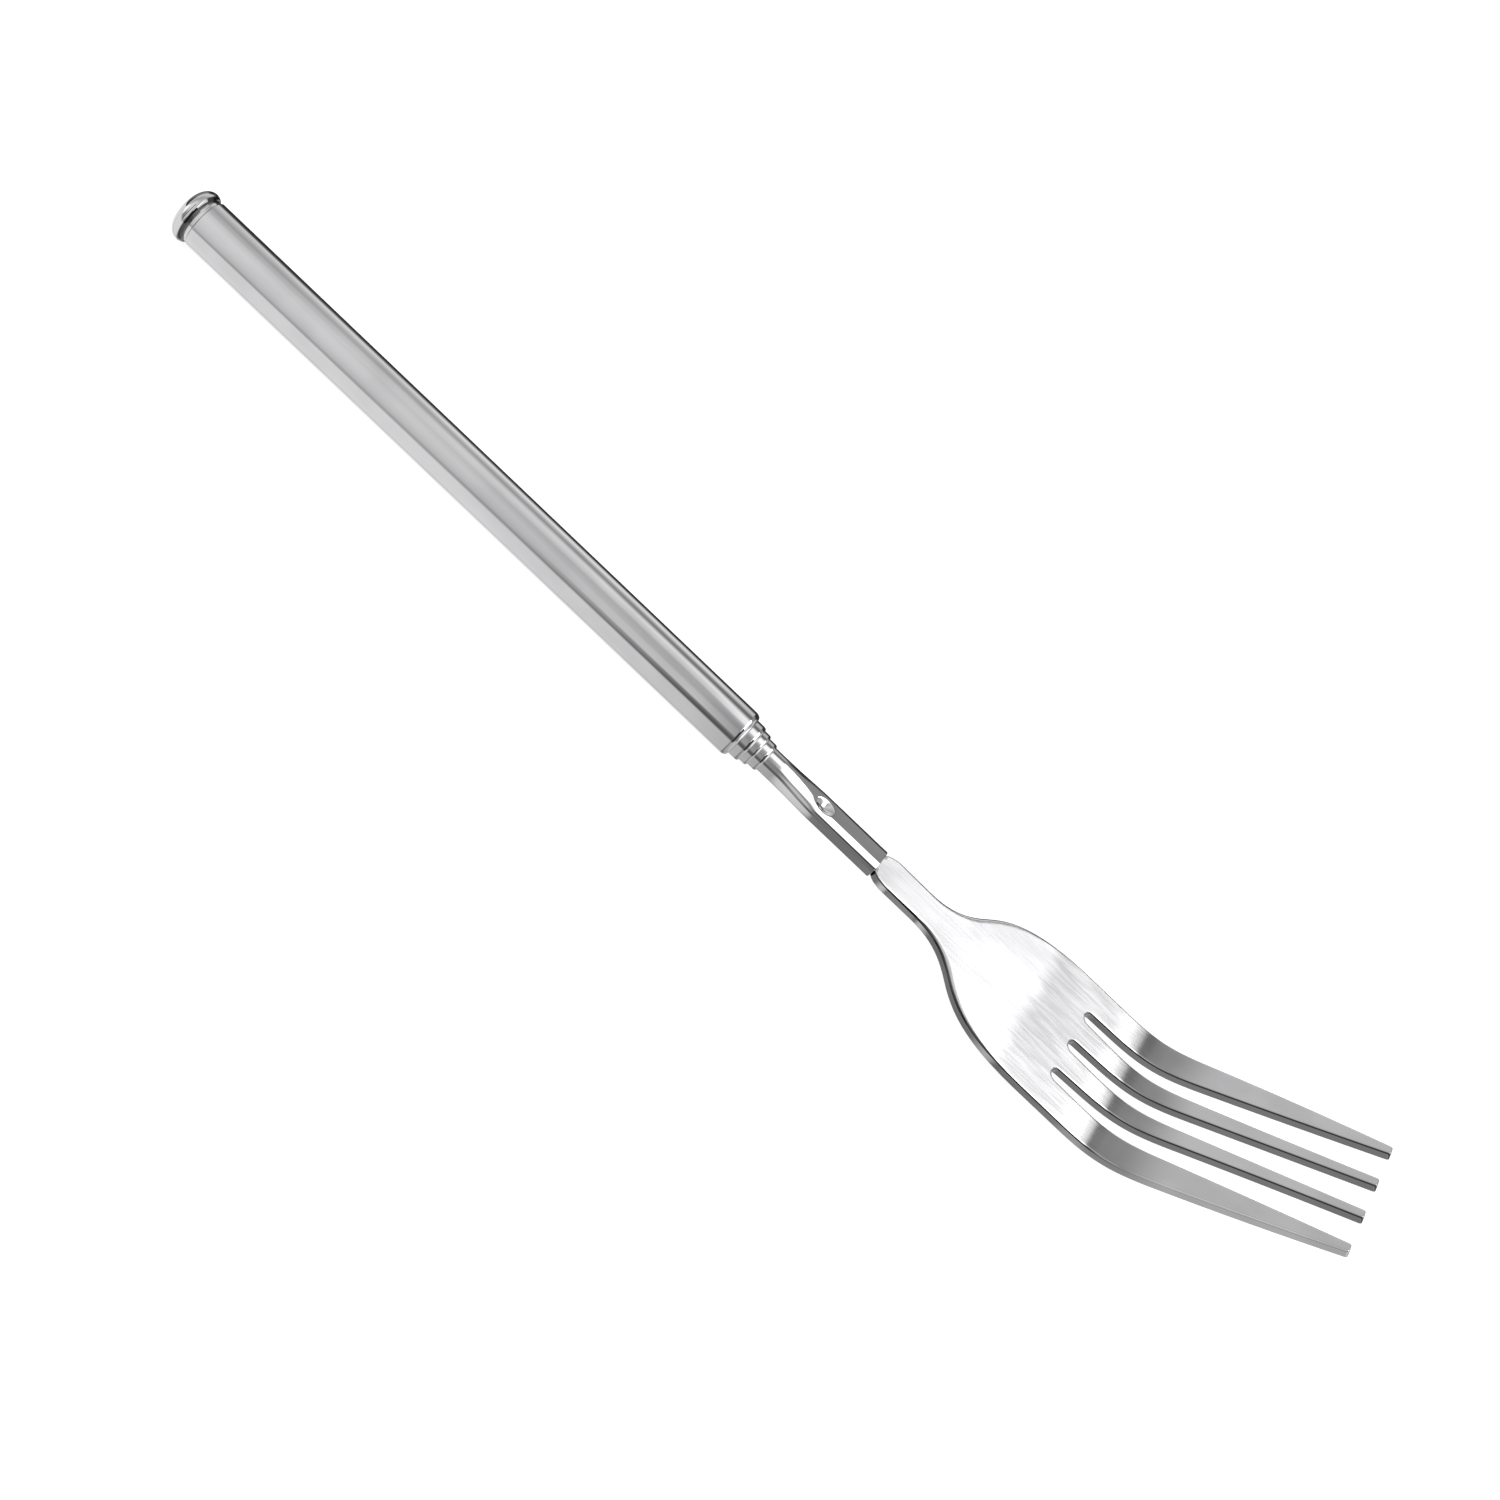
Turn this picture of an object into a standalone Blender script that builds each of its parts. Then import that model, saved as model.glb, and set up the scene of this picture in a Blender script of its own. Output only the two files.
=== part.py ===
"""Telescopic four-tine fork: a stamped fork head on a set of nested stainless tubes.

Metres, +Z up. X runs along the handle towards the tines and the fork is collapsed.
The working frame below has x = 0 just inside the handle's mouth and z = 0 on the
common axis of the tubes; PLACE moves it so that the origin is under the middle of
the whole fork, at its lowest point.
"""

import math

import bmesh
import bpy
from mathutils import Vector

NAME = "telescopic_fork"
SIDES = 48  # facets round every tube

# Handle tube and its end cap
HANDLE_R = 0.0040
HANDLE_BORE = 0.0036
HANDLE_REAR = -0.1076
MOUTH_X = 0.0005
CAP_FLANGE_R = 0.0044
CAP_FLANGE_X = -0.1083  # front of the rim
CAP_RIM_X = -0.1092  # widest place of the rim
CAP_REAR = -0.1113
CAP_FACE_R = 0.0014  # flat in the middle of the crowned end
CAP_NECK_R = 0.00375  # between the tube and the rim
CAP_NECK_GAP = 0.0001
CAP_RIM_DROP = 0.0003  # from the widest place of the rim to its front
PLUG_R = 0.00355
PLUG_FRONT = -0.1050
PLUG_EDGE = 0.0003

# Telescoping tubes, from the widest to the narrowest
STAGE_FRONTS = (0.0023, 0.00365, 0.00525)
STAGE_RADII = (0.00325, 0.00287, 0.00250)
STAGE_BORES = (0.00307, 0.00269, 0.00233)
SHAFT_R = 0.00215
SHAFT_WALL = 0.00028
REARS = (-0.1048, -0.1047, -0.1046, -0.1045)
LIP_GAP = 0.00005  # between a rolled-in mouth and the tube in it
LIP_LENGTHS = (0.0009, 0.0006, 0.0004, 0.0006)  # handle tube first
MOUTH_EDGE = 0.00010
TUBE_EDGE = 0.00012

# Spring shims: two half shells round the rear of each inner tube
FLARE_LENGTH = 0.0004
SHIM_LENGTH = 0.0030
SHIM_END_GAP = 0.00006
SHIM_SKIN = 0.00003
SHIM_SPLIT_DEG = 8.0  # opening at each side between the halves
BEAD_LENGTH = 0.0005
BEAD_RAMP = 0.0001
BEAD_HEIGHTS = (0.00022, 0.00013, 0.00012, 0.00012)

# Front of the shaft, pressed flat on two sides and crimped on to the tang
SHAFT_FRONT = 0.0281
PRESS_START = 0.0075
PRESS_END = 0.0160
PRESSED_FLAT = 0.0010  # half width of the flats
PRESSED_R = 0.0016  # radius of the round sides between them
CRIMP_X = 0.0163
CRIMP_Y = -0.0003
CRIMP_LENGTH = 0.0038
CRIMP_WIDTH = 0.0025
CRIMP_DEPTH = 0.00045

# Fork head, cut from flat sheet and bent
SHEET = 0.0015
EDGE_BREAK = 0.00022
TANG_REAR = 0.0130
TANG_HALF = 0.00165
NECK_START = 0.0283
NECK_HALF = 0.00288
NECK_CORNER = ((0.0, 0.0021), (0.0010, 0.0026), (0.0022, NECK_HALF))
SHOULDER_START = 0.0370
SHOULDER_PULL = 0.0050  # how far the neck's straight line carries on
SHOULDER_MID = (0.0466, 0.0072)
SHOULDER_LEAN = 0.00215  # the outline runs at 45 degrees through its middle
SHOULDER_END = 0.0640
BOWL_PULL = (0.0105, 0.0001)  # back and in from the end of the shoulder
BOWL_HALF = 0.01300
BEND_START = 0.0757
BEND_R = 0.0170  # to the middle of the sheet
BEND_DEG = 33.2
TINE_LENGTH = 0.0419  # along the sheet, from the start of the bend
TINE_TIP_OUT = 0.01095
TINE_TAPER = 1.8  # the outer edges curve in more and more towards the tips
SLOT_ROOT = 0.0674
SLOT_R = 0.00105
SIDE_SLOT_Y = 0.00645
SIDE_SLOT_TIP_Y = 0.00675
SIDE_SLOT_INSET = 0.0006
CENTRE_TIP_GAP = 0.0025  # half widths of the gaps at the tips
SIDE_TIP_GAP = 0.0026

BEND = math.radians(BEND_DEG)
STRAIGHT = TINE_LENGTH - BEND_R * BEND
TIP_X = BEND_START + BEND_R * math.sin(BEND) + STRAIGHT * math.cos(BEND)
TIP_X += 0.5 * SHEET * math.sin(BEND)
PLACE = Vector((-0.5 * (CAP_REAR + TIP_X), 0.0, CAP_FLANGE_R))


def clear_scene():
    for old in list(bpy.data.objects):
        bpy.data.objects.remove(old, do_unlink=True)


def metal(name, colour, roughness):
    material = bpy.data.materials.new(name)
    material.use_nodes = True
    shader = material.node_tree.nodes["Principled BSDF"]
    shader.inputs["Base Color"].default_value = (*colour, 1.0)
    shader.inputs["Metallic"].default_value = 1.0
    shader.inputs["Roughness"].default_value = roughness
    return material


def polished_steel(name):
    return metal(name + "_polished_steel", (0.80, 0.80, 0.81), 0.08)


def satin_steel(name):
    return metal(name + "_satin_steel", (0.74, 0.74, 0.75), 0.28)


def spring_brass(name):
    return metal(name + "_spring_brass", (0.72, 0.55, 0.28), 0.30)


def add_object(name, data, material, collection, parent):
    piece = bpy.data.objects.new(name, data)
    piece.data.materials.append(material)
    collection.objects.link(piece)
    piece.parent = parent
    return piece


def along_x(piece):
    """Turns a piece made round its own Z so that Z points along the fork."""
    piece.rotation_euler = (0.0, math.radians(90.0), 0.0)


def smooth(mesh):
    mesh.shade_smooth()
    mesh.set_sharp_from_angle(angle=math.radians(30.0))


def turned(name, outline, closed, material, collection, parent):
    """Turns an outline of (x along the fork, radius) points, front to rear on its outside."""
    mesh = bpy.data.meshes.new(name)
    count = len(outline)
    edges = [(i, (i + 1) % count) for i in range(count if closed else count - 1)]
    mesh.from_pydata([(radius, 0.0, x) for x, radius in outline], edges, [])
    piece = add_object(name, mesh, material, collection, parent)
    screw = piece.modifiers.new("turn", "SCREW")
    screw.steps = SIDES
    screw.render_steps = SIDES
    screw.use_merge_vertices = True
    screw.merge_threshold = 0.000001
    screw.use_smooth_shade = True
    along_x(piece)
    return piece


def rear_collar(rear, radius, bead_height):
    """Outside of a tube's rear end, front to rear: bead, land for the shims, flare."""
    flare_front = rear + FLARE_LENGTH
    bead_rear = flare_front + 2.0 * SHIM_END_GAP + SHIM_LENGTH
    bead_front = bead_rear + BEAD_LENGTH
    top = radius + bead_height
    return [
        (bead_front + BEAD_RAMP, radius),
        (bead_front, top),
        (bead_rear, top),
        (bead_rear, radius),
        (flare_front, radius),
        (flare_front, top),
        (rear, top),
    ]


def rolled_mouth(front, radius, bore, inner_radius, length):
    """Front end of a tube rolled in to hold the next one: its outside and its inside."""
    lip = inner_radius + LIP_GAP
    edge = MOUTH_EDGE
    outside = [
        (front, lip + 0.4 * edge),
        (front - 0.5 * edge, lip + edge),
        (front - length, radius - 0.5 * edge),
        (front - length - 1.5 * edge, radius),
    ]
    inside = [
        (front - length - 3.0 * edge, bore),
        (front - 0.5 * length, lip),
        (front, lip),
    ]
    return outside, inside


def handle_tube(collection, parent):
    outside, inside = rolled_mouth(
        MOUTH_X, HANDLE_R, HANDLE_BORE, STAGE_RADII[0], LIP_LENGTHS[0]
    )
    rear = [
        (HANDLE_REAR + TUBE_EDGE, HANDLE_R),
        (HANDLE_REAR, HANDLE_R - TUBE_EDGE),
        (HANDLE_REAR, HANDLE_BORE),
    ]
    outline = outside + rear + inside
    material = polished_steel("handle_tube")
    return turned("handle_tube", outline, True, material, collection, parent)


def end_cap(collection, parent):
    """Crowned cap with a rounded rim and a plug that is pressed into the handle tube."""
    crown = CAP_RIM_X - CAP_REAR
    steps = 6
    outline = [
        (PLUG_FRONT, 0.0),
        (PLUG_FRONT, PLUG_R - PLUG_EDGE),
        (PLUG_FRONT - PLUG_EDGE, PLUG_R),
        (HANDLE_REAR - CAP_NECK_GAP, PLUG_R),
        (HANDLE_REAR - CAP_NECK_GAP, CAP_NECK_R),
        (CAP_FLANGE_X, CAP_NECK_R),
        (CAP_FLANGE_X, CAP_FLANGE_R - CAP_RIM_DROP),
        (0.5 * (CAP_FLANGE_X + CAP_RIM_X), CAP_FLANGE_R - 0.25 * CAP_RIM_DROP),
    ]
    for step in range(steps):
        turn = 0.5 * math.pi * step / steps
        reach = CAP_FACE_R + (CAP_FLANGE_R - CAP_FACE_R) * math.cos(turn)
        outline.append((CAP_RIM_X - crown * math.sin(turn), reach))
    outline += [(CAP_REAR, CAP_FACE_R), (CAP_REAR, 0.0)]
    material = polished_steel("end_cap")
    return turned("end_cap", outline, False, material, collection, parent)


def stage_tube(number, collection, parent):
    index = number - 1
    radius = STAGE_RADII[index]
    bore = STAGE_BORES[index]
    inner_radius = (*STAGE_RADII, SHAFT_R)[number]
    outside, inside = rolled_mouth(
        STAGE_FRONTS[index], radius, bore, inner_radius, LIP_LENGTHS[number]
    )
    collar = rear_collar(REARS[index], radius, BEAD_HEIGHTS[index])
    outline = outside + collar + [(REARS[index], bore)] + inside
    name = f"stage_tube_{number}"
    return turned(name, outline, True, polished_steel(name), collection, parent)


def friction_shims(number, collection, parent):
    """Two half shells of spring brass between the rear of one tube and the bore round it."""
    index = number - 1
    inner = (*STAGE_RADII, SHAFT_R)[index] + SHIM_SKIN
    outer = (HANDLE_BORE, *STAGE_BORES)[index] - SHIM_SKIN
    middle = REARS[index] + FLARE_LENGTH + SHIM_END_GAP + 0.5 * SHIM_LENGTH
    steps = SIDES // 2
    opening = math.radians(0.5 * SHIM_SPLIT_DEG)
    for side, turn in (("upper", 0.0), ("lower", math.pi)):
        angles = [
            turn + opening + (math.pi - 2.0 * opening) * step / steps
            for step in range(steps + 1)
        ]
        ring = [(outer * math.cos(a), outer * math.sin(a)) for a in angles]
        ring += [(inner * math.cos(a), inner * math.sin(a)) for a in reversed(angles)]
        name = f"friction_shim_{number}_{side}"
        curve = bpy.data.curves.new(name, "CURVE")
        curve.dimensions = "2D"
        curve.fill_mode = "BOTH"
        curve.extrude = 0.5 * SHIM_LENGTH
        spline = curve.splines.new("POLY")
        spline.points.add(len(ring) - 1)
        # the outline's y is up and its x is sideways once the piece lies along the fork
        for point, (sideways, up) in zip(spline.points, ring):
            point.co = (-up, sideways, 0.0, 1.0)
        spline.use_cyclic_u = True
        piece = add_object(name, curve, spring_brass(name), collection, parent)
        along_x(piece)
        piece.location = (middle, 0.0, 0.0)


def ease(t):
    """Smooth step from 0 to 1."""
    t = min(max(t, 0.0), 1.0)
    return t * t * (3.0 - 2.0 * t)


def pressed_section(side):
    """Direction and place of one of the points round the pressed section.

    Each half is a round side, of a third of the points, and then a flat.
    """
    third = SIDES // 3
    sixth = SIDES // 6
    half, step = divmod(side, third + sixth)
    hand = 1 - 2 * half
    if step < third:
        lean = math.pi * (step / third - 0.5 + half)
        centre = hand * PRESSED_FLAT
    else:
        lean = math.pi * (0.5 + half)
        centre = hand * PRESSED_FLAT * (1.0 - 2.0 * (step - third) / sixth)
    return lean, centre + PRESSED_R * math.cos(lean), PRESSED_R * math.sin(lean)


def shaft_ring(x, offset):
    """Points of the shaft's section at x; offset moves them out from its outer skin."""
    pressed = ease((x - PRESS_START) / (PRESS_END - PRESS_START))
    ring = []
    for side in range(SIDES):
        turn = 2.0 * math.pi * (side / SIDES - 1.0 / 6.0)
        lean, flat_y, flat_z = pressed_section(side)
        out = turn + (lean - turn) * pressed
        y = SHAFT_R * math.cos(turn)
        z = SHAFT_R * math.sin(turn)
        y += (flat_y - y) * pressed + offset * math.cos(out)
        z += (flat_z - z) * pressed + offset * math.sin(out)
        if z > 0.0:
            along = (x - CRIMP_X) / (0.5 * CRIMP_LENGTH)
            across = (y - CRIMP_Y) / (0.5 * CRIMP_WIDTH)
            z -= CRIMP_DEPTH * ease(1.0 - math.hypot(along, across))
        ring.append((x, y, z))
    return ring


def shaft_stations():
    """Places along the pressed end where the shaft's section changes, front to rear."""
    crimp_steps = 10
    crimp = [
        CRIMP_X + CRIMP_LENGTH * (0.5 - step / crimp_steps)
        for step in range(crimp_steps + 1)
    ]
    press_steps = 6
    crimp_rear = CRIMP_X - 0.5 * CRIMP_LENGTH
    press = [
        PRESS_START + (crimp_rear - PRESS_START) * (1.0 - step / press_steps)
        for step in range(1, press_steps + 1)
    ]
    return crimp + press


def shaft_tube(collection, parent):
    """Innermost tube: round at the rear, pressed flat and crimped over the tang in front."""
    stations = shaft_stations()
    outside = [shaft_ring(x, 0.0) for x in [SHAFT_FRONT] + stations]
    collar = rear_collar(REARS[3], SHAFT_R, BEAD_HEIGHTS[3])
    outside += [shaft_ring(x, radius - SHAFT_R) for x, radius in collar]
    inside = [shaft_ring(x, -SHAFT_WALL) for x in [REARS[3]] + stations[::-1]]
    inside.append(shaft_ring(SHAFT_FRONT, -SHAFT_WALL))
    shell = bmesh.new()
    rings = [[shell.verts.new(p) for p in ring] for ring in outside + inside]
    for ring, after in zip(rings, rings[1:] + rings[:1]):
        for side in range(SIDES):
            other = (side + 1) % SIDES
            shell.faces.new((ring[side], ring[other], after[other], after[side]))
    bmesh.ops.recalc_face_normals(shell, faces=shell.faces)
    mesh = bpy.data.meshes.new("shaft_tube")
    shell.to_mesh(mesh)
    shell.free()
    smooth(mesh)
    material = polished_steel("shaft_tube")
    return add_object("shaft_tube", mesh, material, collection, parent)


def bezier(a, b, c, d, t):
    s = 1.0 - t
    weights = (s * s * s, 3.0 * s * s * t, 3.0 * s * t * t, t * t * t)
    return tuple(sum(w * p[i] for w, p in zip(weights, (a, b, c, d))) for i in (0, 1))


def head_outline():
    """(length along the sheet, half width) of the tang, neck, shoulders and bowl."""
    mid_x, mid_y = SHOULDER_MID
    lean = SHOULDER_LEAN
    start = (SHOULDER_START, NECK_HALF)
    end = (SHOULDER_END, BOWL_HALF)
    outline = [(TANG_REAR, TANG_HALF), (NECK_START - 0.0001, TANG_HALF)]
    outline += [(NECK_START + past, half) for past, half in NECK_CORNER]
    steps = 7
    for step in range(steps):
        point = bezier(
            start,
            (SHOULDER_START + SHOULDER_PULL, NECK_HALF),
            (mid_x - lean, mid_y - lean),
            (mid_x, mid_y),
            step / steps,
        )
        outline.append(point)
    for step in range(steps + 1):
        point = bezier(
            (mid_x, mid_y),
            (mid_x + 1.5 * lean, mid_y + 1.5 * lean),
            (SHOULDER_END - BOWL_PULL[0], BOWL_HALF - BOWL_PULL[1]),
            end,
            step / steps,
        )
        outline.append(point)
    return outline


def edges_at(length):
    """Places across the sheet of its outer edge and of its slots' edges, past the slot roots."""
    slot_start = SLOT_ROOT + SLOT_R
    along = (length - slot_start) / (BEND_START + TINE_LENGTH - slot_start)
    past = max(0.0, (length - BEND_START) / TINE_LENGTH)
    outer = BOWL_HALF - (BOWL_HALF - TINE_TIP_OUT) * past**TINE_TAPER
    centre_gap = SLOT_R + (CENTRE_TIP_GAP - SLOT_R) * along
    side_gap = SLOT_R + (SIDE_TIP_GAP - SLOT_R) * along
    middle = SIDE_SLOT_Y + (SIDE_SLOT_TIP_Y - SIDE_SLOT_Y) * along * along
    middle -= SIDE_SLOT_INSET * along * (1.0 - along)
    return outer, middle + side_gap, middle - side_gap, centre_gap


def bent(length, across, up):
    """Place of a point of the flat sheet once its tines are bent up."""
    past = length - BEND_START
    if past <= 0.0:
        return (length, across, up)
    turn = min(past / BEND_R, BEND)
    rest = max(0.0, past - BEND_R * BEND)
    radius = BEND_R - up
    x = BEND_START + radius * math.sin(turn) + rest * math.cos(turn)
    z = BEND_R - radius * math.cos(turn) + rest * math.sin(turn)
    return (x, across, z)


def head_rows():
    """Rows of eight places across the sheet, each (length, across), from tang to tips.

    The eight are the edges of the four tines from +Y to -Y. Behind the slots the
    edges that face each other across a slot are one and the same point.
    """
    rows = []
    for length, half in head_outline():
        slot = SIDE_SLOT_Y * half / BOWL_HALF
        sides = (half, slot, slot, 0.0, 0.0, -slot, -slot, -half)
        rows.append([(length, across) for across in sides])
    arc_steps = 4
    for step in range(arc_steps + 1):
        turn = 0.5 * math.pi * step / arc_steps
        length = SLOT_ROOT + SLOT_R * (1.0 - math.cos(turn))
        gap = SLOT_R * math.sin(turn)
        middle = SIDE_SLOT_Y
        half = (BOWL_HALF, middle + gap, middle - gap, gap)
        sides = half + tuple(-across for across in reversed(half))
        rows.append([(length, across) for across in sides])
    bend_end = BEND_START + BEND_R * BEND
    bend_steps = 6
    lengths = [0.5 * (SLOT_ROOT + SLOT_R + BEND_START)]
    lengths += [
        BEND_START + (bend_end - BEND_START) * step / bend_steps
        for step in range(bend_steps + 1)
    ]
    straight_steps = 4
    lengths += [
        bend_end + STRAIGHT * step / straight_steps
        for step in range(1, straight_steps + 1)
    ]
    for length in lengths:
        half = edges_at(length)
        sides = half + tuple(-across for across in reversed(half))
        rows.append([(length, across) for across in sides])
    return rows


def fork_head(collection, parent):
    """Tang, neck, bowl and four tines, stamped from one sheet and bent up."""
    sheet = bmesh.new()
    rows = head_rows()
    grids = []
    for up in (0.5 * SHEET, -0.5 * SHEET):
        grid = []
        for row in rows:
            line = []
            for place, (length, across) in enumerate(row):
                shared = place and row[place - 1] == row[place]
                point = bent(length, across, up)
                line.append(line[-1] if shared else sheet.verts.new(point))
            grid.append(line)
        grids.append(grid)
    top, bottom = grids
    for first, second in zip(range(len(rows)), range(1, len(rows))):
        for tine in range(4):
            left, right = 2 * tine, 2 * tine + 1
            for grid in grids:
                corners = (
                    grid[first][left],
                    grid[first][right],
                    grid[second][right],
                    grid[second][left],
                )
                sheet.faces.new(corners)
            for place in (left, right):
                neighbour = place - 1 if place == left else place + 1
                inside = 0 <= neighbour < 8
                if inside and top[second][neighbour] is top[second][place]:
                    continue
                wall = (
                    top[first][place],
                    top[second][place],
                    bottom[second][place],
                    bottom[first][place],
                )
                sheet.faces.new(wall)
    for line in (0, -1):
        for tine in range(4):
            left, right = 2 * tine, 2 * tine + 1
            end = (
                top[line][left],
                top[line][right],
                bottom[line][right],
                bottom[line][left],
            )
            sheet.faces.new(end)
    bmesh.ops.recalc_face_normals(sheet, faces=sheet.faces)
    mesh = bpy.data.meshes.new("fork_head")
    sheet.to_mesh(mesh)
    sheet.free()
    mesh.shade_smooth()
    mesh.set_sharp_from_angle(angle=math.radians(50.0))
    piece = add_object("fork_head", mesh, satin_steel("fork_head"), collection, parent)
    bevel = piece.modifiers.new("broken_edges", "BEVEL")
    bevel.width = EDGE_BREAK
    bevel.segments = 1
    bevel.limit_method = "ANGLE"
    bevel.angle_limit = math.radians(60.0)
    return piece


def main():
    clear_scene()
    collection = bpy.data.collections.new(NAME)
    bpy.context.scene.collection.children.link(collection)
    frame = bpy.data.objects.new("axis", None)
    frame.location = PLACE
    collection.objects.link(frame)
    handle_tube(collection, frame)
    end_cap(collection, frame)
    for number in (1, 2, 3):
        stage_tube(number, collection, frame)
    shaft_tube(collection, frame)
    for number in (1, 2, 3, 4):
        friction_shims(number, collection, frame)
    fork_head(collection, frame)


main()
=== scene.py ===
"""Looks for the telescopic four-tine fork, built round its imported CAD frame.

Metres, +Z up, X along the fork towards its tines, floor at z = 0. Every place
below is worked out from the frame's own boxes; the constants are the shapes of
details that the plain CAD solids leave out.
"""

import math
from collections import namedtuple

import bmesh
import bpy
from mathutils import Matrix, Vector


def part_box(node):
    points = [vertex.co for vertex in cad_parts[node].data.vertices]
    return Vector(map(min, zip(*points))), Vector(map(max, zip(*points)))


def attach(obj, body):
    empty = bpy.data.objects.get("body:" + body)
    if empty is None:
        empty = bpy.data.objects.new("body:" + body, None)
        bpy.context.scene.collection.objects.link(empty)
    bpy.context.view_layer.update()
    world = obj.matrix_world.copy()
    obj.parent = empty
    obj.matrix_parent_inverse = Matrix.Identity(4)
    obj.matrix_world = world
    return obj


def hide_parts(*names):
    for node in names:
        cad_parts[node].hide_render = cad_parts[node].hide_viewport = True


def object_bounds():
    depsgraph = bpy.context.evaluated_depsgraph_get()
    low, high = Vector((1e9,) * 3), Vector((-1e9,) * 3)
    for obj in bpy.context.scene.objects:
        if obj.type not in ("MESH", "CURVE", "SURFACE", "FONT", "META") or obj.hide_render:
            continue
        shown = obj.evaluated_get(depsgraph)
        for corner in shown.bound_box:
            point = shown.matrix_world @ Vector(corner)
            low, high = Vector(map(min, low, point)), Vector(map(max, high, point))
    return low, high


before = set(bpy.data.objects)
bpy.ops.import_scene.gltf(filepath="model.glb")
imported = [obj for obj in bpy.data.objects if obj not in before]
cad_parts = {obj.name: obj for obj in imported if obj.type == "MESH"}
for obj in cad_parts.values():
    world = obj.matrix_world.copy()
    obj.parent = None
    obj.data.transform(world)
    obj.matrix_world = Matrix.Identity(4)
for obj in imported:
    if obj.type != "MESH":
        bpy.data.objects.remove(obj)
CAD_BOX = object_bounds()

SIDES = 96  # facets round every tube
ARC_STEPS = 6  # facets across a rounded edge

# Handle tube and end cap
HANDLE_WALL = 0.0004
HANDLE_REAR_ROUND = 0.00014
HANDLE_LIP = (0.00105, 0.00062)  # length and height of the rolled-in mouth
HANDLE_LIP_BACK = 0.0004  # length over which the bore opens up behind the mouth
CAP_PLUG_INSET = 0.00045  # from the handle tube's outside in to the plug
CAP_PLUG_CHAMFER = 0.0003
CAP_STEP = 0.00004  # gap behind the tube, and length of the step out to the neck
CAP_NECK = (0.0007, 0.00375)  # length and radius between the tube and the cap's rim
CAP_NECK_FILLET = 0.00006
CAP_RIM_ROUND = (0.0009, 0.0003)  # length and drop from its widest place to its front
CAP_RIM_STEPS = 10
CAP_CROWN_FLAT = 0.00110  # radius of the flat in the middle of the crown
CAP_CROWN_STEPS = 14
CAP_SHADE_BAND = (0.0003, 0.00005)  # painted shade from here past the rim's widest place to here past its front, where the rim faces the groove by the tube

# Stage tubes
STAGE_WALL = 0.00018
STAGE_LIPS = ((0.0007, 0.00025), (0.0005, 0.00024), (0.0006, 0.00022))  # as HANDLE_LIP
STAGE_LIP_BACK = 0.0002
STAGE_LIP_BORE = 0.6  # share of the mouth's length that keeps its bore
MOUTH_EDGE = 0.00008
MOUTH_NOSE = 0.4 * MOUTH_EDGE  # length rounded off its front
FLARE_END = 0.0004  # places along each rear end, from the end itself
BEAD_START = 0.00352
BEAD_END = 0.00402
BEAD_RAMP = 0.0001  # length from the bead down to the tube

# Shaft, pressed flat on two sides and crimped on to the tang
SHAFT_WALL = 0.00028
SHAFT_MOUTH_EDGE = 0.00006
SHAFT_PLAIN_FRONT = 0.003
PRESS_START = 0.0075
PRESS_END = 0.0160
PRESS_STEPS = (16, 12)  # outside and inside
PRESSED_FLAT = 0.00100  # half width of the flats
PRESSED_R = 0.00160  # radius of the round sides
CRIMP_X = 0.0163
CRIMP_Y = -0.0003
CRIMP_LENGTH = 0.0038
CRIMP_WIDTH = 0.0025
CRIMP_DEPTH = 0.00045
CRIMP_FULLNESS = 0.8  # below 1 widens the bottom of the dent
CRIMP_STEPS = 26

# Fork head
SHEET = 0.0015
TINES = 4
TANG_HALF = 0.00165
NECK_START = 0.0283
NECK_STEP = 0.0001
NECK_HALF = 0.00288
NECK_ROUND = (  # length past the neck's start, and half width there
    (0.0, 0.0020),
    (0.0004, 0.0023),
    (0.0010, 0.0026),
    (0.0022, 0.00285),
    (0.0036, NECK_HALF),
)
SHOULDER_START = 0.0370
SHOULDER_MID = (0.0466, 0.0072)
SHOULDER_LEAN = 0.00215
SHOULDER_AHEAD = 1.5  # how much longer the curve's tangent is ahead of the middle
SHOULDER_PULLS = (0.0050, 0.0105)  # lengths of its tangents at the neck and the bowl
SHOULDER_END = 0.0640
SHOULDER_STEPS = 12
BOWL_HALF = 0.01300
BOWL_SWELL = 0.0001  # the outline widens by this along its last tangent
BEND_START = 0.0757
BEND_R = 0.0170
BEND = math.radians(33.2)
BEND_END = BEND_START + BEND_R * BEND
BEND_EASE = 0.0040  # length over which it comes in, and goes out, at each side
BEND_FROM = BEND_START - BEND_EASE
PATH_STEP = 0.00002
TINE_LENGTH = 0.0418
HEAD_END = BEND_START + TINE_LENGTH
TINE_TIP_OUT = 0.01095
TINE_TAPER = 1.8
SLOT_ROOT = 0.0674
SLOT_R = 0.00105
SLOT_START = SLOT_ROOT + SLOT_R  # where the round root meets the straight walls
SIDE_SLOT_Y = 0.00645
SLOTS = (SIDE_SLOT_Y, 0.0, -SIDE_SLOT_Y)
SIDE_SLOT_TIP_Y = 0.00675
SIDE_SLOT_INSET = 0.0006
CENTRE_TIP_GAP = 0.0025
SIDE_TIP_GAP = 0.0026
TIP_CORNER = 0.00035
TIP_ROUND = 0.00015
EDGE_ROUND = 0.00026  # plan width of the rounded top edges
SHOULDER_ROUND = 0.00075
TOP_ROUND_DEPTH = 0.0006  # deepest that a top edge is rounded off
UNDER_ROUND = 0.00018
STEEPEST = 0.5  # least cosine that widens a slanting edge's rounding
MERGE = 0.0000005

# Places across a tine: the rounded edges by shares of their width, then the middle
ACROSS_EDGE = (0.0, 0.04, 0.14, 0.32, 0.6, 1.0, 1.5)
ACROSS_MIDDLE = (0.33, 0.67)
EDGE_LIMIT = 0.3  # most of a tine's width that one rounded edge takes
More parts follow.
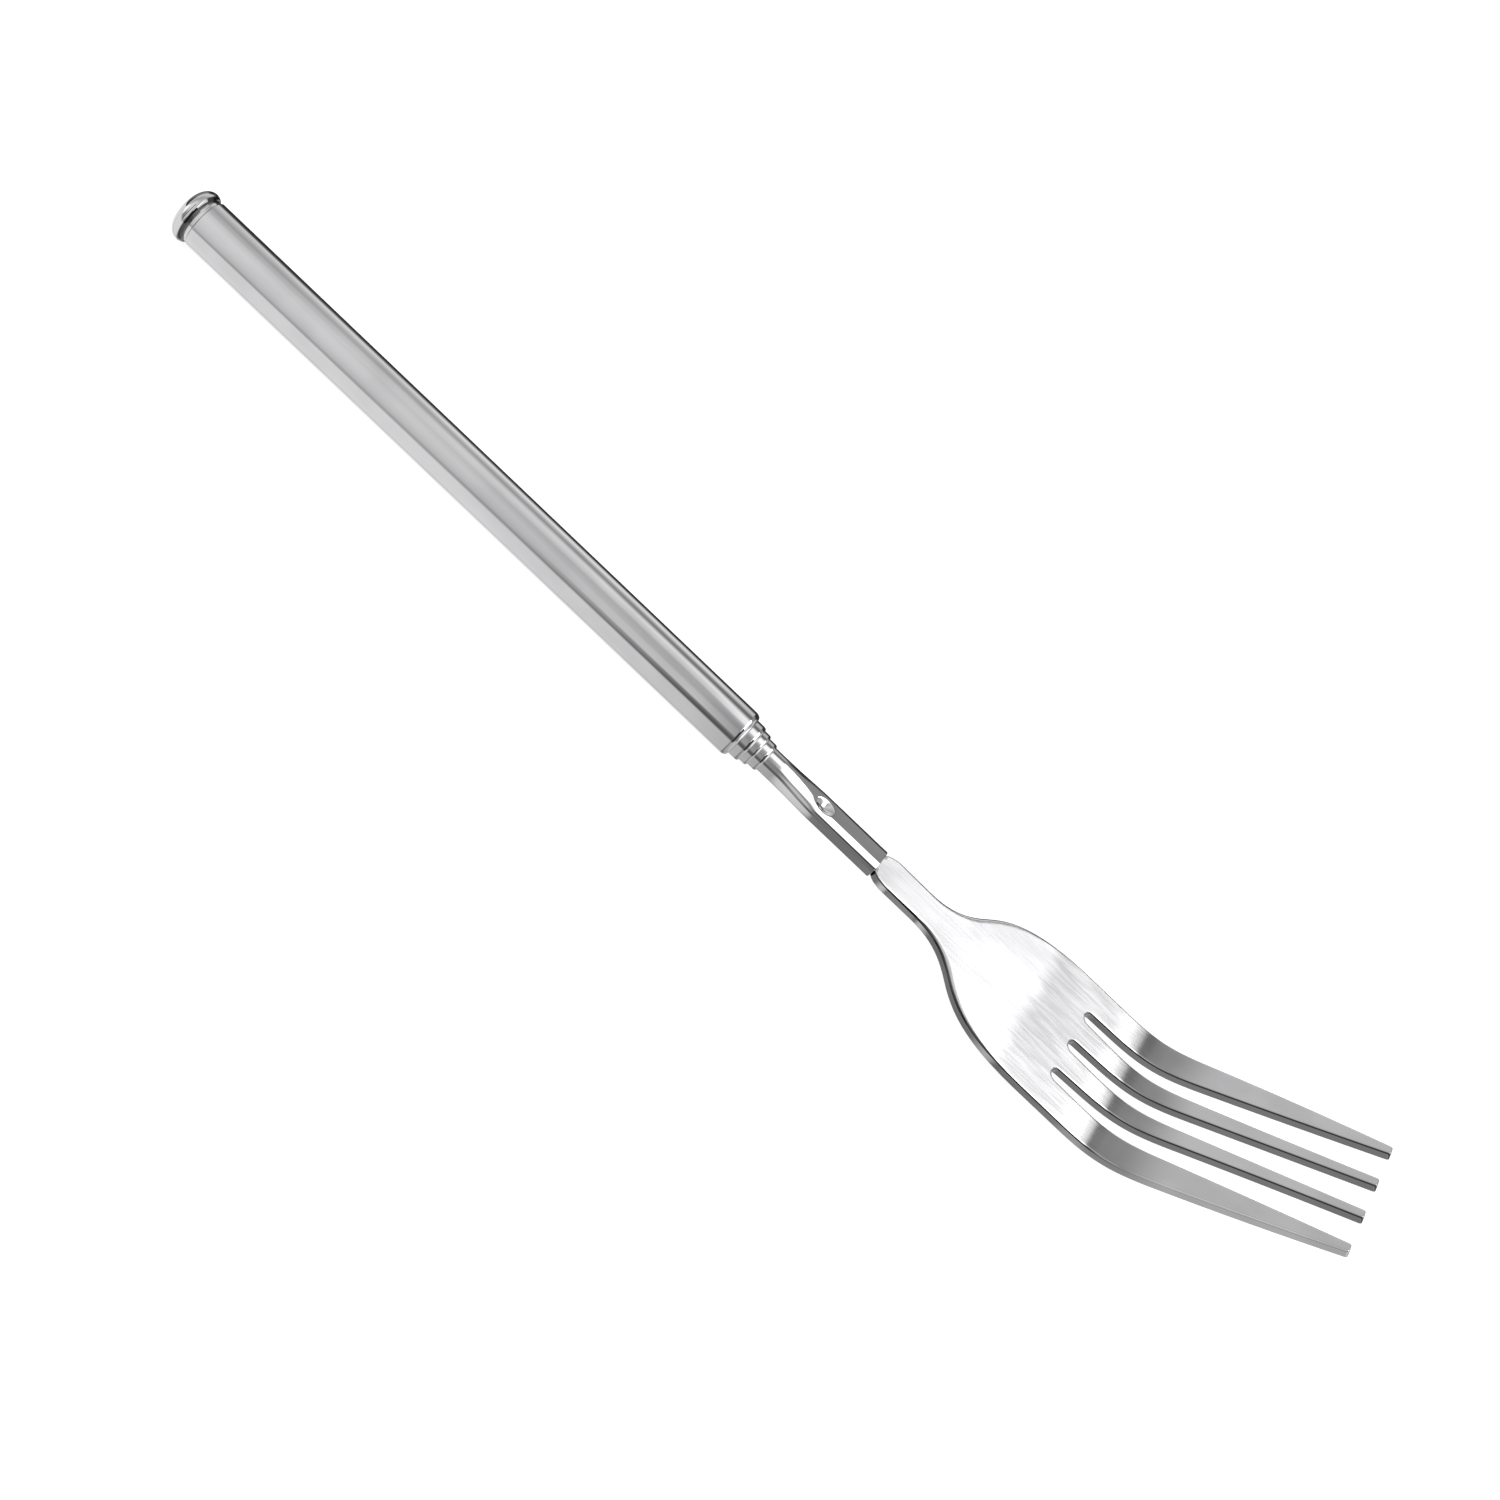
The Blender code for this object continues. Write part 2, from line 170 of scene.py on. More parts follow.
# Rows along the head: round the slots' roots, along the tines and at their tips
ROWS_BEFORE_ROOT = (1.6, 1.0, 0.6, 0.25)  # shares of EDGE_ROUND
ROOT_STEPS = 8
BOWL_ROW = 0.0012  # one row more, this far past the shoulders
ROWS_AT_TIP = (0.35, 0.6, 0.8, 0.93, 1.0)  # shares of TIP_CORNER

TUBE_SHARP = 32.0  # degrees between faces from which an edge looks sharp
HEAD_SHARP = 40.0

AXIS_Z = 0.5 * (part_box("handle_tube")[0].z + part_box("handle_tube")[1].z)
# The fork's own x starts at the handle's mouth, which the CAD puts half a
# millimetre behind the front of the handle tube.
MOUTH_BEHIND_FRONT = 0.0005
START_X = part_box("handle_tube")[1].x - MOUTH_BEHIND_FRONT


# ---------------------------------------------------------------- shader nodes
WHITE = (1.0, 1.0, 1.0, 1.0)
BLACK = (0.0, 0.0, 0.0, 1.0)


def add_node(tree, kind, inputs=(), **settings):
    """Adds a node; inputs are (socket, value or output socket) pairs."""
    node = tree.nodes.new(kind)
    for name, value in settings.items():
        setattr(node, name, value)
    for socket, value in inputs:
        if isinstance(value, bpy.types.NodeSocket):
            tree.links.new(value, node.inputs[socket])
        else:
            node.inputs[socket].default_value = value
    return node


def maths(tree, operation, first, second=0.0):
    node = add_node(
        tree, "ShaderNodeMath", ((0, first), (1, second)), operation=operation
    )
    return node.outputs[0]


def remap(tree, value, low, high, to_low=0.0, to_high=1.0, smooth=True):
    pairs = (
        ("Value", value),
        ("From Min", low),
        ("From Max", high),
        ("To Min", to_low),
        ("To Max", to_high),
    )
    kind = "SMOOTHSTEP" if smooth else "LINEAR"
    return add_node(
        tree, "ShaderNodeMapRange", pairs, interpolation_type=kind
    ).outputs["Result"]


def mix_values(tree, share, first, second):
    node = add_node(
        tree,
        "ShaderNodeMix",
        (("Factor", share), ("A", first), ("B", second)),
        data_type="FLOAT",
    )
    return node.outputs["Result"]


def times(tree, first, second):
    return maths(tree, "MULTIPLY", first, second)


def window(tree, value, rise, fall):
    """1 from the end of the rise to the start of the fall, 0 before and after them."""
    return times(tree, remap(tree, value, *rise), remap(tree, value, *fall, 1.0, 0.0))


def separate(tree, vector):
    """The X, Y and Z of a vector."""
    return add_node(tree, "ShaderNodeSeparateXYZ", (("Vector", vector),)).outputs


def ramp(tree, value, stops, peak):
    """Brightness by value; stops are (value, brightness) with value from 0 to 1."""
    node = add_node(tree, "ShaderNodeValToRGB", (("Fac", value),))
    elements = node.color_ramp.elements
    elements.remove(elements[1])
    for place, level in stops:
        element = elements[0] if place == stops[0][0] else elements.new(place)
        element.position = place
        element.color = (level / peak, level / peak, level / peak, 1.0)
    return maths(tree, "MULTIPLY", node.outputs["Color"], peak)


# --------------------------------------------------------------------- studio
# What the fork reflects, as bands of light that run along it. Each pair is an
# angle in degrees up from the far horizon (90 overhead, 180 the near horizon)
# and a brightness.
OVER_THE_CAP = (
    (-44, 1.00),
    (-40, 0.04),
    (4, 0.05),
    (12, 0.45),
    (20, 0.95),
    (34, 0.80),
    (57, 0.52),
    (67, 0.65),
    (77, 0.70),
    (90, 0.90),
    (112, 1.00),
    (145, 0.90),
    (171, 0.75),
    (180, 0.52),
    (185, 0.60),
    (193, 1.00),
)
OVER_THE_HANDLE = (
    (-44, 0.95),
    (-40, 0.03),
    (-8, 0.04),
    (2, 0.30),
    (11, 0.95),
    (19, 1.15),
    (33, 0.72),
    (47, 0.45),
    (57, 0.75),
    (68, 1.02),
    (82, 0.94),
    (100, 0.71),
    (128, 0.84),
    (150, 0.77),
    (166, 0.68),
    (177, 0.42),
    (186, 0.88),
    (191, 1.04),
)
OVER_THE_COLLAR = (
    (-44, 0.90),
    (-40, 0.03),
    (-6, 0.04),
    (4, 0.60),
    (13, 1.12),
    (22, 1.00),
    (34, 0.45),
    (41, 0.24),
    (48, 0.24),
    (58, 0.85),
    (63, 1.18),
    (76, 0.90),
    (84, 0.85),
    (96, 0.56),
    (121, 0.56),
    (133, 0.76),
    (155, 0.82),
    (161, 0.25),
    (178, 0.10),
    (188, 0.98),
)
OVER_THE_SHAFT = (
    (-44, 0.50),
    (-40, 0.04),
    (-4, 0.05),
    (16, 0.60),
    (30, 0.58),
    (42, 0.18),
    (52, 0.22),
    (62, 1.00),
    (69, 1.90),
    (88, 1.90),
    (97, 0.90),
    (108, 0.42),
    (117, 0.32),
    (160, 0.34),
    (170, 0.13),
    (180, 0.18),
    (190, 0.50),
)
OVER_THE_PRESSED_SHAFT = (
    (-44, 0.30),
    (-40, 0.04),
    (14, 0.05),
    (26, 0.36),
    (50, 0.36),
    (55, 3.00),
    (120, 3.00),
    (130, 0.05),
    (140, 0.05),
    (147, 0.25),
    (190, 0.25),
)
OVER_THE_HEAD = (
    (-44, 0.30),
    (-40, 0.04),
    (14, 0.05),
    (26, 0.39),
    (104, 0.39),
    (108, 0.06),
    (184, 0.05),
    (190, 0.30),
)
BEYOND_THE_ENDS = (
    (-44, 0.60),
    (-38, 0.22),
    (0, 0.28),
    (10, 0.60),
    (20, 0.95),
    (34, 0.80),
    (57, 0.52),
    (70, 0.60),
    (84, 0.95),
    (110, 1.10),
    (135, 0.85),
    (150, 0.45),
    (170, 0.30),
    (178, 0.45),
    (186, 0.80),
)
KEY_BAND = ((50.0, 55.0), (104.0, 108.0))  # angles where the key light comes in and goes out
# Brightness of the bench and the room by how far the reflected ray leans
# towards the tines (1 is straight along the fork, -1 straight back).
BENCH = (
    (-0.24, 1.00),
    (-0.08, 0.98),
    (0.03, 0.84),
    (0.07, 0.60),
    (0.10, 0.25),
    (0.125, 0.25),
    (0.15, 0.38),
    (0.25, 0.36),
    (0.29, 0.60),
    (0.50, 0.60),
    (0.60, 0.80),
)
KEY_LIGHT = (
    (0.10, 2.20),
    (0.160, 2.30),
    (0.180, 4.20),
    (0.40, 4.20),
    (0.44, 0.06),
    (0.84, 0.06),
    (0.88, 2.00),
)
BACK_ROOM = (
    (-0.93, 1.60),
    (-0.86, 1.00),
    (-0.80, 0.08),
    (-0.42, 0.08),
    (-0.36, 0.70),
)
STRAIGHT_DOWN = -90.0
PEAK = 6.0  # brighter than every stop above
# What is seen from the cap to the front of the shaft, by the lean it is seen at.
ROOM = (
    (-0.24, OVER_THE_CAP),
    (-0.08, OVER_THE_HANDLE),
    (0.03, OVER_THE_COLLAR),
    (0.07, OVER_THE_SHAFT),
    (0.11, OVER_THE_PRESSED_SHAFT),
)
HEAD_LEAN = (0.128, 0.155)
ALL_KEY_LEAN = 0.5  # from here on the key light fills the room over the head
BACK_LEAN = (-0.36, -0.42)
BEYOND_LEAN = ((0.47, 0.52), (0.84, 0.88))  # either way along the fork
HORIZON = 0.02  # half the height of the soft line between the room and the bench
BACK_ROOM_START = (96.0, 103.0)
NEAR_BENCH = (184.0, 189.0)
FAR_BENCH = (-40.0, -44.0)
UNDER_EDGE = (262.0, 270.0)  # angles where the bench is in the fork's own shade
UNDER_SHADE = 0.5


def share_of_turn(angles):
    """Angles as shares of a full turn that starts straight down."""
    return [(angle - STRAIGHT_DOWN) / 360.0 for angle in angles]


def by_angle(tree, share, stops):
    places = share_of_turn([angle for angle, _ in stops])
    turned = [(place, level) for place, (_, level) in zip(places, stops)]
    return ramp(tree, share, turned, PEAK)


def by_lean(tree, lean, stops):
    """Brightness by the ray's lean from -1 to 1."""
    half = maths(tree, "MULTIPLY_ADD", lean, 0.5)
    half.node.inputs[2].default_value = 0.5
    return ramp(tree, half, [(0.5 + 0.5 * place, level) for place, level in stops], PEAK)


def light_round_the_tubes(tree, share, lean):
    """What the tubes reflect: the room's bands, blended along the fork."""
    light = by_angle(tree, share, ROOM[0][1])
    for (before, _), (here, stops) in zip(ROOM, ROOM[1:]):
        nearer = remap(tree, lean, before, here, smooth=False)
        light = mix_values(tree, nearer, light, by_angle(tree, share, stops))
    return light


def light_round_the_head(tree, share, lean, above):
    """What the head reflects: its own bands and the key light over it."""
    key = by_lean(tree, lean, KEY_LIGHT)
    rise, fall = (share_of_turn(angles) for angles in KEY_BAND)
    lit = times(tree, key, window(tree, share, rise, fall))
    head = maths(tree, "ADD", by_angle(tree, share, OVER_THE_HEAD), lit)
    ends = times(tree, maths(tree, "GREATER_THAN", lean, ALL_KEY_LEAN), above)
    return mix_values(tree, ends, head, key)


def studio_world():
    """Room that the steel reflects; the camera itself sees it plain white."""
    world = bpy.data.worlds.new("studio")
    bpy.context.scene.world = world
    world.use_nodes = True
    tree = world.node_tree
    tree.nodes.clear()
    place = add_node(tree, "ShaderNodeTexCoord")
    lean, back, up = separate(tree, place.outputs["Generated"])
    full = 2.0 * math.pi
    angle = maths(tree, "ARCTAN2", up, back)
    turned = maths(tree, "ADD", angle, full - math.radians(STRAIGHT_DOWN))
    share = maths(tree, "DIVIDE", maths(tree, "MODULO", turned, full), full)
    above = remap(tree, up, -HORIZON, HORIZON)
    light = light_round_the_tubes(tree, share, lean)
    head = light_round_the_head(tree, share, lean, above)
    light = mix_values(tree, remap(tree, lean, *HEAD_LEAN), light, head)
    # the room behind the cap
    near_side = remap(tree, share, *share_of_turn(BACK_ROOM_START))
    behind = times(tree, remap(tree, lean, *BACK_LEAN), above)
    behind = times(tree, behind, near_side)
    light = mix_values(tree, behind, light, by_lean(tree, lean, BACK_ROOM))
    # the rest of the room beyond both ends, which the main view hardly shows
    beyond = window(tree, maths(tree, "ABSOLUTE", lean), *BEYOND_LEAN)
    light = mix_values(tree, beyond, light, by_angle(tree, share, BEYOND_THE_ENDS))
    # the bench, darker towards the tines and right under the fork
    below = maths(
        tree,
        "MAXIMUM",
        remap(tree, share, *share_of_turn(NEAR_BENCH)),
        remap(tree, share, *share_of_turn(FAR_BENCH)),
    )
    shaded = remap(tree, share, *share_of_turn(UNDER_EDGE), 1.0, UNDER_SHADE)
    bench = times(tree, by_lean(tree, lean, BENCH), shaded)
    light = mix_values(tree, below, light, bench)
    seen = add_node(tree, "ShaderNodeLightPath").outputs["Is Camera Ray"]
    light = mix_values(tree, seen, light, 1.0)
    sky = add_node(
        tree, "ShaderNodeBackground", (("Color", WHITE), ("Strength", light))
    )
    add_node(
        tree, "ShaderNodeOutputWorld", (("Surface", sky.outputs["Background"]),)
    )


FLOOR_HALF = 3.0
FLOOR_TONE = (0.30, 0.30, 0.30, 1.0)
FLOOR_GLOW = 0.89


def pale_floor():
    """Light-table floor: mostly its own glow, so that shadows on it stay faint."""
    mesh = bpy.data.meshes.new("floor")
    corners = [
        (x * FLOOR_HALF, y * FLOOR_HALF, 0.0)
        for x, y in ((-1, -1), (1, -1), (1, 1), (-1, 1))
    ]
    mesh.from_pydata(corners, [], [(0, 1, 2, 3)])
    floor = bpy.data.objects.new("floor", mesh)
    floor.location.z = CAD_BOX[0].z
    material = bpy.data.materials.new("pale_floor")
    material.use_nodes = True
    shader = material.node_tree.nodes["Principled BSDF"]
    shader.inputs["Base Color"].default_value = FLOOR_TONE
    shader.inputs["Roughness"].default_value = 1.0
    shader.inputs["Specular IOR Level"].default_value = 0.0
    shader.inputs["Emission Color"].default_value = WHITE
    shader.inputs["Emission Strength"].default_value = FLOOR_GLOW
    mesh.materials.append(material)
    floor.visible_glossy = False  # the steel reflects the studio's own bench
    bpy.context.scene.collection.objects.link(floor)


# The camera looks down at the middle of the fork from its right-hand side,
# turned on its own axis so that the fork runs down across the picture.
AIM = Vector((START_X + 0.00257, -0.0010, AXIS_Z))
DISTANCE = 0.3413
LOOK_DOWN = math.radians(47.03)
LOOK_TOWARDS = math.radians(4.97)  # from +Y towards +X
ROLL = math.radians(47.21)
LENS = 55.44


def camera():
    data = bpy.data.cameras.new("camera")
    data.lens = LENS
    data.sensor_width = 36.0
    data.clip_start = 0.01
    data.clip_end = 20.0
    eye = bpy.data.objects.new("camera", data)
    ahead = Vector(
        (
            math.sin(LOOK_TOWARDS) * math.cos(LOOK_DOWN),
            math.cos(LOOK_TOWARDS) * math.cos(LOOK_DOWN),
            -math.sin(LOOK_DOWN),
        )
    )
    level = ahead.cross(Vector((0.0, 0.0, 1.0))).normalized()
    upright = level.cross(ahead)
    right = math.cos(ROLL) * level + math.sin(ROLL) * upright
    up = math.cos(ROLL) * upright - math.sin(ROLL) * level
    turn = Matrix((right, up, -ahead)).transposed().to_4x4()
    eye.matrix_world = Matrix.Translation(AIM - DISTANCE * ahead) @ turn
    bpy.context.scene.collection.objects.link(eye)
    bpy.context.scene.camera = eye


# ------------------------------------------------------------------ materials
def stretched_noise(tree, lengthwise, crosswise, detail=2.0):
    """Noise in streaks along the fork; both numbers are streaks per metre."""
    place = add_node(tree, "ShaderNodeTexCoord")
    scaled = add_node(
        tree,
        "ShaderNodeMapping",
        (
            ("Vector", place.outputs["Object"]),
            ("Scale", (lengthwise, crosswise, crosswise)),
        ),
    )
    noise = add_node(
        tree,
        "ShaderNodeTexNoise",
        (("Vector", scaled.outputs["Vector"]), ("Scale", 1.0), ("Detail", detail)),
    )
    return noise.outputs["Fac"]


CLOUDS = (90.0, 160.0)  # wide soft patches; these pairs are per metre along and across
NOISE_RANGE = (0.35, 0.65)  # where most of the noise's values lie
FINE_SHARE = 0.6  # how much of the roughness follows the fine lines, not the clouds


def steel(name, dark, light, roughness, streaks, bump):
    """Stainless steel: two tones, a roughness range and lengthwise polishing lines."""
    material = bpy.data.materials.new(name)
    material.use_nodes = True
    tree = material.node_tree
    shader = tree.nodes["Principled BSDF"]
    shader.inputs["Metallic"].default_value = 1.0
    fine = stretched_noise(tree, *streaks, detail=3.0)
    cloudy = stretched_noise(tree, *CLOUDS)
    tone = add_node(
        tree,
        "ShaderNodeMix",
        (("Factor", remap(tree, cloudy, *NOISE_RANGE)), ("A", dark), ("B", light)),
        data_type="RGBA",
    )
    tree.links.new(tone.outputs["Result"], shader.inputs["Base Color"])
    worn = times(tree, cloudy, 1.0 - FINE_SHARE)
    mixed = maths(tree, "ADD", times(tree, fine, FINE_SHARE), worn)
    rough = remap(tree, mixed, *NOISE_RANGE, *roughness)
    tree.links.new(rough, shader.inputs["Roughness"])
    relief = add_node(
        tree,
        "ShaderNodeBump",
        (("Height", fine), ("Strength", 1.0), ("Distance", bump)),
    )
    tree.links.new(relief.outputs["Normal"], shader.inputs["Normal"])
    return material


def darken(material, share):
    """Mixes black into a steel's tone; share is a value from 0 to 1 in its nodes."""
    tree = material.node_tree
    shader = tree.nodes["Principled BSDF"]
    plain = shader.inputs["Base Color"].links[0].from_socket
    tone = add_node(
        tree,
        "ShaderNodeMix",
        (("Factor", share), ("A", plain), ("B", BLACK)),
        data_type="RGBA",
    )
    tree.links.new(tone.outputs["Result"], shader.inputs["Base Color"])


def grey(level, blue=0.01):
    return (level, level, level + blue, 1.0)


POLISHED = (0.03, 0.07)  # ranges of roughness
BRUSHED = (0.21, 0.27)
BRASS_ROUGH = (0.22, 0.38)
POLISHED_LINES = (14.0, 1500.0)
BRUSHED_LINES = (150.0, 2800.0)
BRASS_LINES = (60.0, 2500.0)
POLISHED_BUMP = 0.0000010
BRUSHED_BUMP = 0.000004
BRASS_TONES = ((0.62, 0.44, 0.19, 1.0), (0.74, 0.56, 0.28, 1.0))
BAND_EDGE = 0.00012
BAND_SHADE = 0.80


def polished_steel(name):
    return steel(name, grey(0.60), grey(0.65), POLISHED, POLISHED_LINES, POLISHED_BUMP)


def shade_banded_steel(name, start, end):
    """Polished steel with a band of painted shade between two places along the fork."""
    material = polished_steel(name)
    tree = material.node_tree
    place = add_node(tree, "ShaderNodeTexCoord")
    along = separate(tree, place.outputs["Object"])["X"]
    rise, fall = ((x - BAND_EDGE, x + BAND_EDGE) for x in (start, end))
    darken(material, times(tree, window(tree, along, rise, fall), BAND_SHADE))
    return material


def spring_brass(name):
    return steel(name, *BRASS_TONES, BRASS_ROUGH, BRASS_LINES, BRUSHED_BUMP)


# The head's steel, by length along the head and by how its surface faces; its darker tones are
# painted shade
ACROSS_MAP = "across"
BRUSHED_ONE_WAY = 0.9
BRUSHED_END = (BEND_START - 0.002, BEND_START + 0.004)
TINE_SMOOTHNESS = 0.5
STAMPED_SIDE = (0.10, 0.25)  # how far sideways a stamped edge faces
EDGE_SMOOTHNESS = 0.4
# painted shade in front of the slots: a greyer zone for a darker reflection there, streaked
# along the brushing
SHADED_ZONE_START = (0.0575, 0.0605)
SHADED_ZONE_END = (0.0712, 0.0742)
SHADED_ZONE_WANDER = 0.004
WANDER_LINES = (60.0, 900.0)
SHADED_ZONE_LINES = (170.0, 2400.0)
SHADED_ZONE_RANGE = (0.38, 0.62)
SHADED_ZONE_DEPTH = (0.21, 0.33)
# painted shade: a darker stretch of reflection just past the bend
BEND_DARK_START = (BEND_START, BEND_START + 0.003)
BEND_DARK_END = (BEND_START + 0.006, BEND_START + 0.014)
BEND_SHADE = 0.40
# painted shade on sideways-facing walls: the slots' walls and the slanting shoulders
WALL_LEVEL = (0.3, 0.15)  # upward part of the normal, from none of a wall to all of one
WALL_SHADE = 0.55  # painted shade on the slots' walls, between the tines
SHOULDER_SLANT = (-0.04, -0.30)  # forward part of the normal
SHOULDER_SHADE = 0.76
RIM_LEVEL = ((0.12, 0.28), (0.75, 0.97))
RIM_SIDE = (0.2, 0.4)
RIM_SHADE = 0.90  # painted shade on the rounded edges between the faces and the walls
OUTER_EDGE_Y = 0.0107  # every slot is nearer the middle than this
OUTER_LIGHT_START = (BEND_START + 0.002, BEND_START + 0.006)


def shaded_zone_tone(tree, length):
    """Painted shade: a greyer stretch of reflection in front of the slots, streaked along the
    brushing, with a ragged start and end.
    """
    wander = stretched_noise(tree, *WANDER_LINES, detail=3.0)
    shift = times(tree, maths(tree, "SUBTRACT", wander, 0.5), SHADED_ZONE_WANDER)
    shifted = maths(tree, "ADD", length, shift)
    shaded_zone = window(tree, shifted, SHADED_ZONE_START, SHADED_ZONE_END)
    lines = stretched_noise(tree, *SHADED_ZONE_LINES, detail=3.0)
    lines = remap(tree, lines, *SHADED_ZONE_RANGE)
    return times(tree, shaded_zone, remap(tree, lines, 0.0, 1.0, *SHADED_ZONE_DEPTH))


def wall_shade_tone(tree, length, across_y, forward, level):
    """Painted shade on the shoulders' backward-facing walls and on the slots' walls."""
    slant = remap(tree, forward, *SHOULDER_SLANT)
    inner = times(
        tree,
        maths(tree, "LESS_THAN", across_y, OUTER_EDGE_Y),
        maths(tree, "GREATER_THAN", length, SLOT_ROOT),
    )
    shade_share = maths(
        tree,
        "MAXIMUM",
        times(tree, slant, SHOULDER_SHADE),
        times(tree, inner, WALL_SHADE),
    )
    return times(tree, remap(tree, level, *WALL_LEVEL), shade_share)


def rim_shade_tone(tree, length, across_y, sideways, level):
    """Painted shade on the rounded edges, except on the outer tines' outer sides past the bend.
    """
    rim = window(tree, level, *RIM_LEVEL)
    rim = times(tree, rim, remap(tree, sideways, *RIM_SIDE, 0.0, RIM_SHADE))
    outer = times(
        tree,
        maths(tree, "GREATER_THAN", across_y, OUTER_EDGE_Y),
        remap(tree, length, *OUTER_LIGHT_START),
    )
    return times(tree, rim, maths(tree, "SUBTRACT", 1.0, outer))


def satin_steel(name):
    """Steel brushed lengthwise, so that it blurs what it reflects across the lines.

    The brushing is strong on the neck and the bowl and fades out past the bend. The
    stamped edges stay smooth. Four painted shades darken the steel: a greyer streaked
    zone in front of the slots, a stretch past the bend, the walls and the rounded edges.
    """
    material = steel(name, grey(0.60), grey(0.66), BRUSHED, BRUSHED_LINES, BRUSHED_BUMP)
    tree = material.node_tree
    shader = tree.nodes["Principled BSDF"]
    shader.inputs["Anisotropic"].default_value = BRUSHED_ONE_WAY
    across = add_node(
        tree, "ShaderNodeTangent", direction_type="UV_MAP", uv_map=ACROSS_MAP
    )
    tree.links.new(across.outputs["Tangent"], shader.inputs["Tangent"])
    place = add_node(tree, "ShaderNodeTexCoord")
    axes = separate(tree, place.outputs["Object"])
    facing = separate(tree, place.outputs["Normal"])
    length = maths(tree, "SUBTRACT", axes["X"], START_X)
    across_y = maths(tree, "ABSOLUTE", axes["Y"])
    sideways = maths(tree, "ABSOLUTE", facing["Y"])
    level = maths(tree, "ABSOLUTE", facing["Z"])
    # smoother past the bend and on the stamped edges
    tine = remap(tree, length, *BRUSHED_END, 1.0, TINE_SMOOTHNESS)
    edge = remap(tree, sideways, *STAMPED_SIDE, 1.0, EDGE_SMOOTHNESS)
    rough = shader.inputs["Roughness"].links[0].from_socket
    rough = times(tree, rough, times(tree, tine, edge))
    tree.links.new(rough, shader.inputs["Roughness"])
    # the darkest of the four painted shades shows
    bend = window(tree, length, BEND_DARK_START, BEND_DARK_END)
    darkest = shaded_zone_tone(tree, length)
    for tone in (
        times(tree, bend, BEND_SHADE),
        wall_shade_tone(tree, length, across_y, facing["X"], level),
        rim_shade_tone(tree, length, across_y, sideways, level),
    ):
        darkest = maths(tree, "MAXIMUM", darkest, tone)
    darken(material, darkest)
    return material


# --------------------------------------------------------------- turned pieces
def finish_piece(piece, body, slot, *nodes):
    """Puts a new piece on its CAD body, in place of the CAD nodes it refines."""
    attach(piece, body)
    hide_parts(*nodes)
    return piece


def new_piece(name, mesh, material):
    mesh.materials.append(material)
    piece = bpy.data.objects.new(name, mesh)
    bpy.context.scene.collection.objects.link(piece)
    weights = piece.modifiers.new("weighted_normals", "WEIGHTED_NORMAL")
    weights.keep_sharp = True
    return piece


def finished_mesh(shell, name, sharp):
    """Turns a finished bmesh into a smooth mesh, sharp at edges of that many degrees."""
    bmesh.ops.recalc_face_normals(shell, faces=shell.faces)
    mesh = bpy.data.meshes.new(name)
    shell.to_mesh(mesh)
    shell.free()
    mesh.shade_smooth()
    mesh.set_sharp_from_angle(angle=math.radians(sharp))
    return mesh


def loft(name, rings, material, closed):
    """Skins rings of points into one solid; closed joins the last ring to the first."""
    shell = bmesh.new()
    loops = [[shell.verts.new(point) for point in ring] for ring in rings]
    count = len(rings[0])
    following = loops[1:] + loops[:1] if closed else loops[1:]
    for loop, after in zip(loops, following):
        for i in range(count):
            j = (i + 1) % count
            shell.faces.new((loop[i], loop[j], after[j], after[i]))
    if not closed:
        shell.faces.new(loops[0])
        shell.faces.new(loops[-1])
    return new_piece(name, finished_mesh(shell, name, TUBE_SHARP), material)


def turned(name, outline, material, closed=True):
    """Turns an outline of (x, radius) points round the tubes' axis."""
    return loft(name, [round_ring(x, r) for x, r in outline], material, closed)


def spread(start, end, steps):
    """Even places from start to end, both included."""
    return [start + (end - start) * step / steps for step in range(steps + 1)]


def round_ring(x, radius):
    return [
        (
            x,
            radius * math.cos(2.0 * math.pi * side / SIDES),
            AXIS_Z + radius * math.sin(2.0 * math.pi * side / SIDES),
        )
        for side in range(SIDES)
    ]


def quarter(start, end, steps=ARC_STEPS, round_first=True):
    """Quarter ellipse of (x, radius) points from start to end.

    round_first leaves start going along the fork; otherwise it leaves going
    across it.
    """
    points = []
    for step in range(steps + 1):
        turn = 0.5 * math.pi * step / steps
        a, b = math.sin(turn), 1.0 - math.cos(turn)
        if not round_first:
            a, b = b, a
        points.append(
            (start[0] + (end[0] - start[0]) * a, start[1] + (end[1] - start[1]) * b)
        )
    return points


def radii(node, start, end):
    """Least and greatest distance from the axis of a CAD tube's points from start to end."""
    found = [
        math.hypot(v.co.y, v.co.z - AXIS_Z)
        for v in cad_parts[node].data.vertices
        if start - 0.000002 < v.co.x < end + 0.000002
    ]
    return min(found), max(found)


def rear_radii(node):
    """Radius of a tube's rear bead and of the tube itself just in front of it."""
    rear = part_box(node)[0].x
    past_bead = rear + BEAD_END + BEAD_RAMP
    return radii(node, rear, rear)[1], radii(node, past_bead, past_bead)[1]


def mouth(front, radius, lip, bore):
    """Rolled-in mouth of a tube: its outside from the rear, then back inside."""
    length, height = lip
    nose = radius - height
    outside = quarter((front - length, radius), (front - MOUTH_NOSE, nose))
    inside = [(front, nose - MOUTH_EDGE), (front - MOUTH_EDGE, bore)]
    return outside + inside


def handle_tube():
    low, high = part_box("handle_tube")
    radius = 0.5 * (high.y - low.y)
    lip_bore = radii("handle_tube", high.x, high.x)[0]
    outline = quarter(
        (low.x, radius - HANDLE_REAR_ROUND),
        (low.x + HANDLE_REAR_ROUND, radius),
        steps=4,
        round_first=False,
    )
    outline += mouth(high.x, radius, HANDLE_LIP, lip_bore)
    outline += [
        (high.x - HANDLE_LIP[0], lip_bore),
        (high.x - HANDLE_LIP[0] - HANDLE_LIP_BACK, radius - HANDLE_WALL),
        (low.x, radius - HANDLE_WALL),
    ]
    piece = turned("handle_shell", outline, polished_steel("handle_steel"))
    finish_piece(piece, "handle", "polished_steel", "handle_tube")


